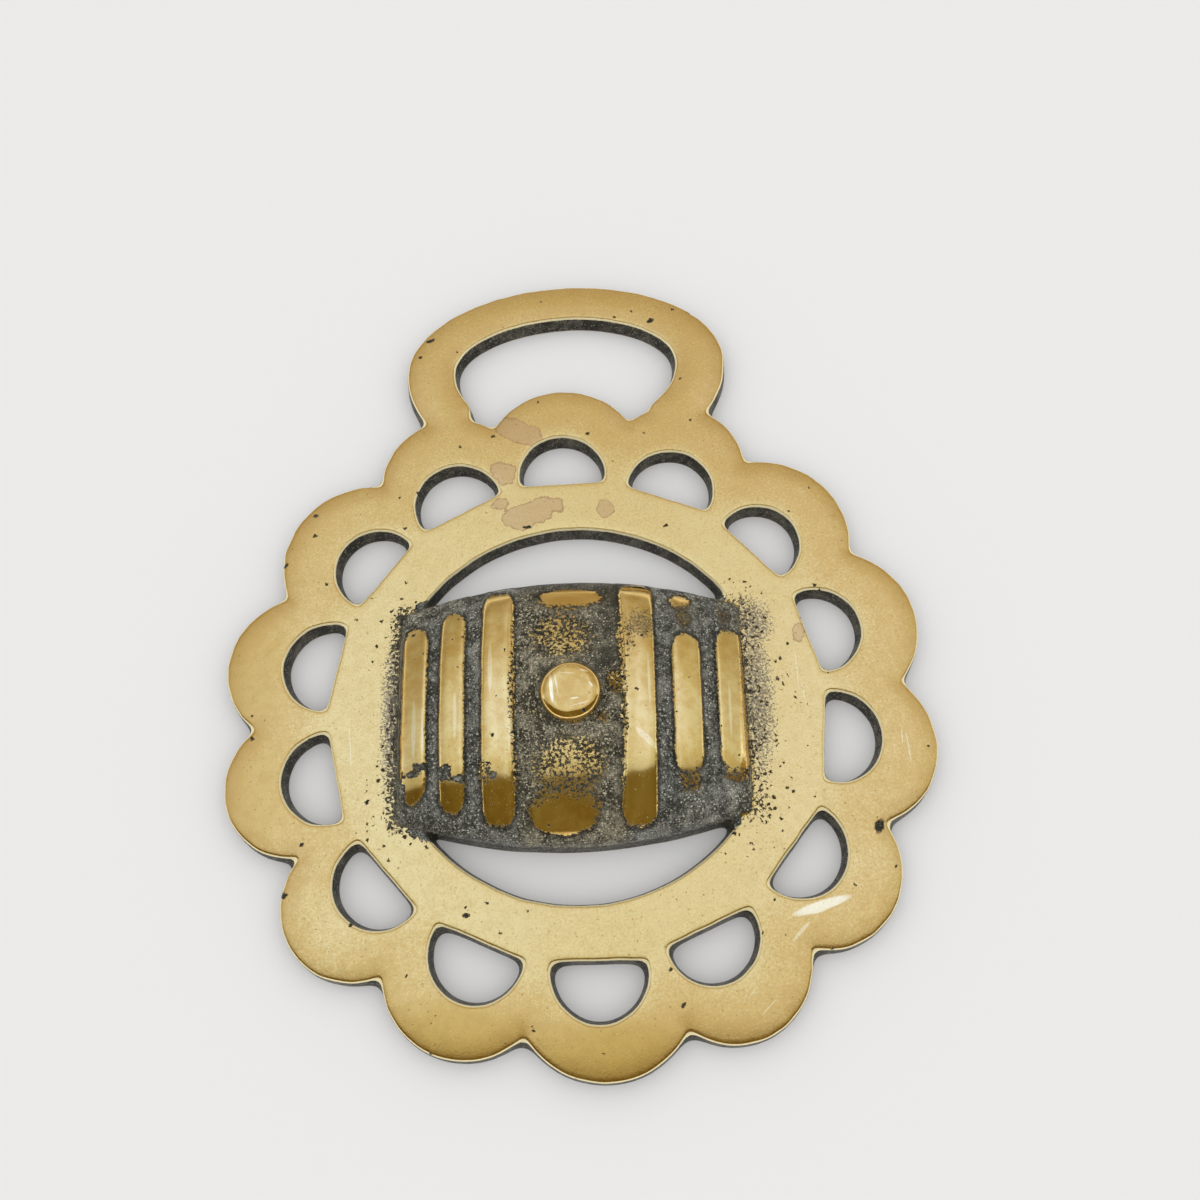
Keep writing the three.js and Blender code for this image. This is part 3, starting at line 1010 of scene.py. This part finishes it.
# Colours of the brass, of its marks, and of the grime in each kind of place with its pale grit.
BRASS = (0.76, 0.60, 0.285, 1)
BRASS_DEEP = (0.655, 0.45, 0.17, 1)
BRASS_RICH = (0.57, 0.375, 0.11, 1)
BRASS_BROWN = (0.56, 0.36, 0.15, 1)
# Pale colour of the painted highlights on the rims and of the painted sparkle on the plate.
RIM = (1.0, 0.90, 0.58, 1)
# Pale colour of the scratches, the painted glints and the painted highlight streaks.
SCRATCH_AND_GLINT = (0.98, 0.92, 0.70, 1)
TARNISH = (0.52, 0.335, 0.20, 1)
TARNISH_EDGE = (0.36, 0.20, 0.10, 1)
GRIME = (0.046, 0.042, 0.031, 1)
GRIME_PALE = (0.76, 0.71, 0.55, 1)
GROOVE = (0.052, 0.055, 0.048, 1)
GROOVE_PALE = (0.74, 0.75, 0.70, 1)
# Near-black: grime, and the painted shade of the walls, the hoops' edges and round the lumps; also the
# pits.
DARK_GRIME_AND_SHADE = (0.024, 0.021, 0.014, 1)
WALL_PALE = (0.30, 0.28, 0.22, 1)
HAZE_GREY = (0.25, 0.22, 0.19, 1)
HAZE_DARK = (0.10, 0.088, 0.085, 1)
BACK = (0.44, 0.33, 0.17, 1)
BACK_DARK = (0.22, 0.16, 0.09, 1)


def brass_material():
    material = bpy.data.materials.new("worn_brass")
    material.use_nodes = True
    n = Nodes(material.node_tree)
    place = n.vector("SUBTRACT", n.add("ShaderNodeTexCoord").outputs["Object"], ring_middle)
    place = n.vector("MULTIPLY", place, (1 / MM,) * 3)
    shift = n.vector("SUBTRACT", n.noise(place, 2.6, 3.0, 0.6, output=1), (0.5, 0.5, 0.5))
    wobbly = n.vector("MULTIPLY_ADD", shift, (0.7, 0.7, 0.7), place)

    clean, torn_by, strewn = n.value("clean"), n.value("torn"), n.value("strewn")
    haze, cask, groove = n.value("haze"), n.value("cask"), n.value("groove")
    stain, wall, rim, border = n.value("stain"), n.value("wall"), n.value("rim"), n.value("border")
    tone = n.value("tone")

    def cask_or_plate(on_cask, on_plate):
        return n.ramp(cask, 0.3, 0.9, on_plate, on_cask)

    # Clean brass shows where the value is above nought, torn by fine noise where it is speckled.
    fine = n.maths("SUBTRACT", n.noise(place, 2.9, 4.0, 0.72), 0.5)
    coarse = n.times(n.maths("SUBTRACT", n.noise(place, 3.0, 3.0, 0.6), 0.5), 1.15)
    flecks = n.ramp(cask, 0.3, 0.7, coarse, fine)
    torn = n.times(n.times(flecks, 4.4), torn_by)
    bright = n.ramp(n.plus(clean, torn), -0.04, 0.04)
    walled = n.plus(wall, n.times(fine, 0.9))
    bright = n.times(bright, n.ramp(walled, 0.12, 0.3, 1.0, 0.0))

    # Specks strewn round the cask's ends, and single nicks.
    distance, chance, size = n.cells(wobbly, 1.75)
    reach = n.maths("MULTIPLY_ADD", size, 0.3, 0.12)
    speck = n.ramp(n.maths("SUBTRACT", distance, reach), -0.05, 0.05, 1.0, 0.0)
    speck = n.times(speck, n.maths("LESS_THAN", chance, strewn))
    nick = n.maths("MAXIMUM", speck, n.marks(wobbly, NICKS))
    bright = n.times(bright, n.maths("SUBTRACT", 1.0, nick))

    # Colour of the clean brass: paler on the ring, deeper on the lobes, brown at their very edge.
    cloud = n.ramp(n.noise(place, 0.16, 3.0, 0.6), 0.35, 0.65, -0.14, 0.14)
    dapple = n.ramp(n.noise(place, 3.6, 4.0, 0.75), 0.3, 0.7, -0.6, 0.6)
    deep = n.plus(n.plus(n.plus(cloud, dapple), n.ramp(border, 3.0, 9.0, 0.95, 0.08)), tone)
    bung = n.marks(place, ((CASK_X, BUNG_Y, BUNG_RADIUS, BUNG_RADIUS, 0),))
    swirl = n.ramp(n.noise(place, 0.75, 4.0, 0.65), 0.35, 0.65, -0.4, 0.4)
    polished = n.maths("MULTIPLY_ADD", bung, 0.4, n.plus(n.plus(swirl, tone), 0.45))
    deep = cask_or_plate(polished, deep)
    colour = n.mix(n.ramp(tone, 0.0, 1.0), n.mix(deep, BRASS, BRASS_DEEP), BRASS_RICH)
    # Pale specks on the plate: a painted sparkle of highlights off its fine grain.
    sparkle = n.ramp(n.noise(place, 5.0, 3.0, 0.8), 0.62, 0.72, 0.0, 0.45)
    colour = n.mix(n.times(sparkle, cask_or_plate(0.0, 1.0)), colour, RIM)
    mottle = n.ramp(n.noise(place, 0.35, 3.0, 0.6), 0.3, 0.6, 0.25, 1.0)
    brown = n.times(n.ramp(border, 0.2, 2.4, 0.35, 0.0), mottle)
    colour = n.mix(brown, colour, BRASS_BROWN)
    stained = n.plus(stain, n.times(coarse, 0.5))
    inside_stain = n.ramp(stained, -0.05, 0.08)
    outline = n.times(inside_stain, n.ramp(stained, 0.08, 0.22, 0.6, 0.0))
    colour = n.mix(n.times(inside_stain, 0.5), colour, TARNISH)
    colour = n.mix(outline, colour, TARNISH_EDGE)
    # Painted glints, then fine scratches and painted highlight streaks, all in one pale colour.
    painted_glint = n.times(n.marks(place, PAINTED_GLINTS), 0.8)
    glints_and_scratches = n.maths("MAXIMUM", painted_glint, n.times(n.marks(place, SCRATCHES_AND_STREAKS), 0.4))
    colour = n.mix(glints_and_scratches, colour, SCRATCH_AND_GLINT)
    # A painted highlight on every rim: paler, rougher and less metallic, for edges that catch the light.
    rim_highlight = n.ramp(rim, 0.3, 0.8, 0.0, 0.9)
    colour = n.mix(rim_highlight, colour, RIM)

    # Colour of the grime: pale grit in dark dirt, most of it in the grooves and among the brass flecks. The
    # pale grains and specks are partly painted glints of the rough metal catching the light.
    grit_and_lump_shading = n.maths("MAXIMUM", n.value("grit_and_lump_shading"), n.times(wall, 0.8))
    grit, _, glitter = n.cells(place, 4.6)
    patchy = n.ramp(n.noise(place, 0.5, 4.0, 0.7), 0.3, 0.7, -0.12, 0.12)
    grainy = n.plus(n.noise(place, 7.5, 4.0, 0.75), patchy)
    grainy = n.times(n.ramp(grainy, 0.42, 0.75), n.ramp(grit_and_lump_shading, 0.0, 1.0, 0.3, 0.8))
    ridges = n.ramp(n.maths("MULTIPLY_ADD", fine, 0.6, coarse), 0.0, 0.24)
    ridges = n.times(ridges, n.ramp(grit_and_lump_shading, 0.3, 1.3, 0.0, 0.85))
    grainy = n.maths("MAXIMUM", grainy, n.times(ridges, cask))
    # Small pale specks: grit, and painted glints.
    glitter = n.maths("MULTIPLY_ADD", grit_and_lump_shading, 0.28, n.maths("MULTIPLY_ADD", grit, -0.8, glitter))
    grainy = n.maths("MAXIMUM", grainy, n.ramp(glitter, 0.72, 0.82, 0.0, 0.95))
    # Darker dirt where the grit value passes 0.8: the roughest dirt, and a painted shade round the bung's
    # lumps.
    dirt = n.mix(n.ramp(grit_and_lump_shading, 0.8, 1.3, 0.0, 0.7), n.mix(groove, GRIME, GROOVE), DARK_GRIME_AND_SHADE)
    grime = n.mix(grainy, dirt, n.mix(groove, GRIME_PALE, GROOVE_PALE))
    # Near-black just beside the polished brass on the cask: dirt packed against the hoops, and painted
    # shade where their sides meet the grooves.
    beside = n.times(n.ramp(clean, -0.45, -0.08, 0.0, 0.75), cask)
    grime = n.mix(beside, grime, DARK_GRIME_AND_SHADE)
    # The walls of the openings: near-black grime with pale grit, dark also as painted shade in these
    # recesses.
    wall_grime_and_shade = n.mix(grainy, DARK_GRIME_AND_SHADE, WALL_PALE)
    grime = n.mix(n.ramp(wall, 0.2, 0.9), grime, wall_grime_and_shade)
    grime = n.mix(n.times(nick, 0.7), grime, DARK_GRIME_AND_SHADE)
    dust = n.maths("SUBTRACT", n.noise(place, 3.6, 4.0, 0.8), 0.5)
    smear = n.plus(haze, n.times(dust, 3.2))
    smear = n.times(n.ramp(smear, 0.4, 0.52, 0.0, 0.8), n.ramp(haze, 0.08, 0.3))
    smear = n.times(smear, n.ramp(bright, 0.0, 1.0, 0.3, 1.0))

    # Grime over brass, haze over both, and the back.
    colour = n.mix(bright, grime, colour)
    film = n.mix(n.ramp(n.noise(place, 5.5, 2.0), 0.35, 0.65), HAZE_DARK, HAZE_GREY)
    colour = n.mix(n.times(smear, n.maths("SUBTRACT", 1.0, nick)), colour, film)
    behind = n.ramp(wall, 1.3, 1.8)
    colour = n.mix(behind, colour, n.mix(grainy, BACK_DARK, BACK))

    # Relief of the finish, in millimetres.
    satin = n.times(n.noise(place, 4.2, 4.0, 0.7), cask_or_plate(0.0015, 0.013))
    stretched = n.add("ShaderNodeMapping", Vector=place, Scale=(7.0, 0.35, 1.0), Rotation=(0, 0, 0.12))
    lines = n.times(n.noise(stretched.outputs[0], 1.0, 2.0), cask_or_plate(0.0015, 0.004))
    grains = n.maths("MULTIPLY_ADD", n.noise(place, 6.0, 4.0, 0.75), 0.2, n.times(grit, -0.1))
    grains = n.times(grains, n.ramp(grit_and_lump_shading, 0.0, 1.0, 0.45, 1.0))
    smooth = n.plus(n.plus(satin, lines), 0.08)
    relief = n.mix(bright, grains, smooth)
    bump = n.add("ShaderNodeBump", Height=relief, Distance=MM)

    # How metallic and how rough.
    metal = n.ramp(bright, 0.0, 1.0, 0.55, n.ramp(rim_highlight, 0.0, 0.9, 1.0, 0.35))
    rough = cask_or_plate(0.1, n.ramp(n.noise(place, 0.8, 3.0), 0.35, 0.65, 0.22, 0.3))
    rough = n.plus(rough, n.times(smear, 0.12))
    rough = n.plus(rough, n.times(rim_highlight, 0.3))
    rough = n.ramp(bright, 0.0, 1.0, 0.4, rough)
    shader = n.add("ShaderNodeBsdfPrincipled", Base_Color=colour, Metallic=metal, Roughness=rough)
    n.set(shader.inputs["Normal"], bump.outputs[0])
    n.add("ShaderNodeOutputMaterial", Surface=shader.outputs[0])
    return material


mesh.materials.append(brass_material())
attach(casting, "root")
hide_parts("horse_brass")


# ------------------------------
# Floor, light and camera.

FLOOR_HALF = 1.2  # metres
FLOOR_GAP = 0.02 * MM
FLOOR_COLOUR = (0.88, 0.88, 0.885, 1)
BACKGROUND_COLOUR = (0.83, 0.825, 0.815, 1)
# The camera: its place from the middle of the ring in millimetres, its turn in degrees and its lens.
CAMERA_PLACE = (0.9, -34.3, 121.0 + PLATE)
CAMERA_TURN = (20.95, 0.52, -4.35)
CAMERA_LENS = 33.97


def make_floor():
    plane = bpy.data.meshes.new("floor")
    ways = ((-1, -1), (1, -1), (1, 1), (-1, 1))
    corners = [(x * FLOOR_HALF, y * FLOOR_HALF, box_low[2] - FLOOR_GAP) for x, y in ways]
    plane.from_pydata(corners, [], [(0, 1, 2, 3)])
    material = bpy.data.materials.new("pale_floor")
    material.use_nodes = True
    shader = material.node_tree.nodes["Principled BSDF"]
    shader.inputs["Base Color"].default_value = FLOOR_COLOUR
    shader.inputs["Roughness"].default_value = 0.75
    plane.materials.append(material)
    floor = bpy.data.objects.new("floor", plane)
    bpy.context.scene.collection.objects.link(floor)


# Brightness of the room by its angle from straight up, in degrees: minus is towards the viewer's side.
ROOM = (
    (-90, (1.9, 1.85, 1.65)),
    (-85, (1.2, 1.1, 0.8)),
    (-80, (0.25, 0.18, 0.05)),
    (-21, (0.22, 0.158, 0.038)),
    (-19, (0.24, 0.17, 0.05)),
    (-17.5, (0.72, 0.70, 0.53)),
    (-10, (0.87, 0.87, 0.72)),
    (-3, (0.96, 0.99, 0.94)),
    (4, (0.99, 1.05, 1.08)),
    (12, (0.97, 1.02, 1.06)),
    (20, (0.95, 0.98, 0.98)),
    (27, (0.90, 0.91, 0.84)),
    (34, (0.80, 0.76, 0.63)),
    (46, (0.69, 0.62, 0.43)),
    (62, (0.66, 0.60, 0.44)),
    (80, (0.60, 0.51, 0.36)),
    (90, (0.8, 0.75, 0.62)),
)
# How much brighter or dimmer it is at each angle to the left (minus) and to the right.
SIDES = (
    (-90, (1.7, 1.7, 1.7)),
    (-66, (0.8, 0.8, 0.8)),
    (-52, (0.71, 0.70, 0.67)),
    (-35, (0.92, 0.92, 0.88)),
    (-20, (1.06, 1.10, 1.30)),
    (-12, (1.15, 1.28, 1.6)),
    (-5, (1.02, 1.04, 1.12)),
    (0, (1.0, 1.0, 1.0)),
    (8, (1.0, 1.0, 1.06)),
    (16, (1.15, 1.19, 1.48)),
    (24, (1.0, 1.0, 1.05)),
    (36, (0.90, 0.87, 0.74)),
    (52, (0.82, 0.80, 0.72)),
    (66, (0.85, 0.85, 0.82)),
    (90, (1.7, 1.7, 1.7)),
)
# The light that falls on dull surfaces, evenly from all sides, in shares of the background's.
FILL = 1.15
# The ramps hold no value above one, so they hold half of each.
RAMP_SHARE = 0.5


def room_ramp(n, angle, stops):
    """A colour that depends on an angle in radians."""
    ramp = n.add("ShaderNodeValToRGB", Fac=n.plus(n.maths("DIVIDE", angle, math.pi), 0.5))
    elements = ramp.color_ramp.elements
    for index, (degrees, colour) in enumerate(stops):
        at = degrees / 180 + 0.5
        element = elements[index] if index < 2 else elements.new(at)
        element.position = at
        element.color = (*(c * RAMP_SHARE for c in colour), 1)
    return ramp.outputs[0]


def make_room():
    """Even light, and the soft room that the brass mirrors: bright overhead, dark where the viewer is."""
    world = bpy.data.worlds.new("room")
    bpy.context.scene.world = world
    world.use_nodes = True
    n = Nodes(world.node_tree)
    way = n.add("ShaderNodeSeparateXYZ", Vector=n.add("ShaderNodeTexCoord").outputs["Generated"])
    x, y, z = way.outputs
    by_lean = room_ramp(n, n.maths("ARCTAN2", y, z), ROOM)
    by_side = room_ramp(n, n.maths("ARCTAN2", x, z), SIDES)
    light = n.vector("MULTIPLY", by_lean, by_side)
    path = n.add("ShaderNodeLightPath")
    dull = path.outputs["Is Diffuse Ray"]
    fill = n.ramp(dull, 0.0, 1.0, 1.0, FILL)
    even = n.add("ShaderNodeBackground", Color=BACKGROUND_COLOUR, Strength=fill)
    seen = n.add("ShaderNodeBackground", Color=light, Strength=1 / RAMP_SHARE**2)
    both = n.tree.nodes.new("ShaderNodeMixShader")
    plain = n.maths("MAXIMUM", path.outputs["Is Camera Ray"], dull)
    for socket, value in zip(both.inputs, (plain, seen.outputs[0], even.outputs[0])):
        n.set(socket, value)
    n.add("ShaderNodeOutputWorld", Surface=both.outputs[0])


def make_camera():
    data = bpy.data.cameras.new("camera")
    data.sensor_width = 36
    data.lens = CAMERA_LENS
    data.clip_start = 0.005
    camera = bpy.data.objects.new("camera", data)
    camera.location = ring_middle + Vector(CAMERA_PLACE) * MM
    camera.rotation_euler = [math.radians(angle) for angle in CAMERA_TURN]
    bpy.context.scene.collection.objects.link(camera)
    bpy.context.scene.camera = camera


make_floor()
make_room()
make_camera()
bpy.context.scene.view_settings.view_transform = "Standard"
